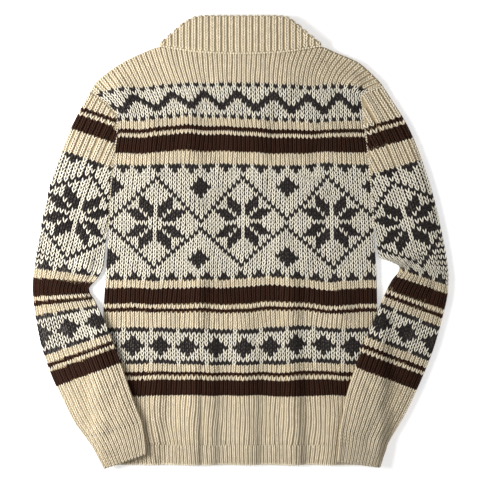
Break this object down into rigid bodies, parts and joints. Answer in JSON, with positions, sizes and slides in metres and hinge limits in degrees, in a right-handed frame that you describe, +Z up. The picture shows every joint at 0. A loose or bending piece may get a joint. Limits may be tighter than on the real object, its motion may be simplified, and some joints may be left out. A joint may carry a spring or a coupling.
{
  "type": "knitted zip cardigan",
  "caption": "Heavy ribbed knit cardigan with a fold-over collar and a front zip, laid face down with its forearms folded over its sides.",
  "frame": {"origin": "middle of the underside, on the surface that the cardigan lies on", "axes": "+Z up through the layers, +Y from the hem towards the neck, +X across the back towards the wearer's right arm"},
  "size_m": [0.6896, 0.7494, 0.0222],
  "materials": {
    "oatmeal_rib": "matt heavy wool rib, oatmeal with brown stripes and a charcoal and off-white pattern",
    "zip_tape": "matt woven tape",
    "zip_metal": "aged brass"
  },
  "bodies": {
    "cardigan": {"back": "oatmeal_rib", "hem_back": "oatmeal_rib", "front_left": "oatmeal_rib", "hem_front_left": "oatmeal_rib", "sleeve_left": "oatmeal_rib", "cuff_left": "oatmeal_rib", "collar_front_left": "oatmeal_rib", "zip_tape_left": "zip_tape", "zip_teeth_left": "zip_metal", "zip_stop_left": "zip_metal", "front_right": "oatmeal_rib", "hem_front_right": "oatmeal_rib", "sleeve_right": "oatmeal_rib", "cuff_right": "oatmeal_rib", "collar_front_right": "oatmeal_rib", "zip_tape_right": "zip_tape", "zip_teeth_right": "zip_metal", "zip_stop_right": "zip_metal", "collar_back": "oatmeal_rib", "collar_welt": "oatmeal_rib", "zip_box": "zip_metal", "zip_slider": "zip_metal"},
    "pull_tab": {"zip_pull": "zip_metal"}
  },
  "joints": [
    {"name": "pull_tab_hinge", "type": "hinge", "parent": "cardigan", "child": "pull_tab", "pos_m": [0, 0.21429, 0.0017], "axis": [1, 0, 0], "range_deg": [0, 170]}
  ]
}
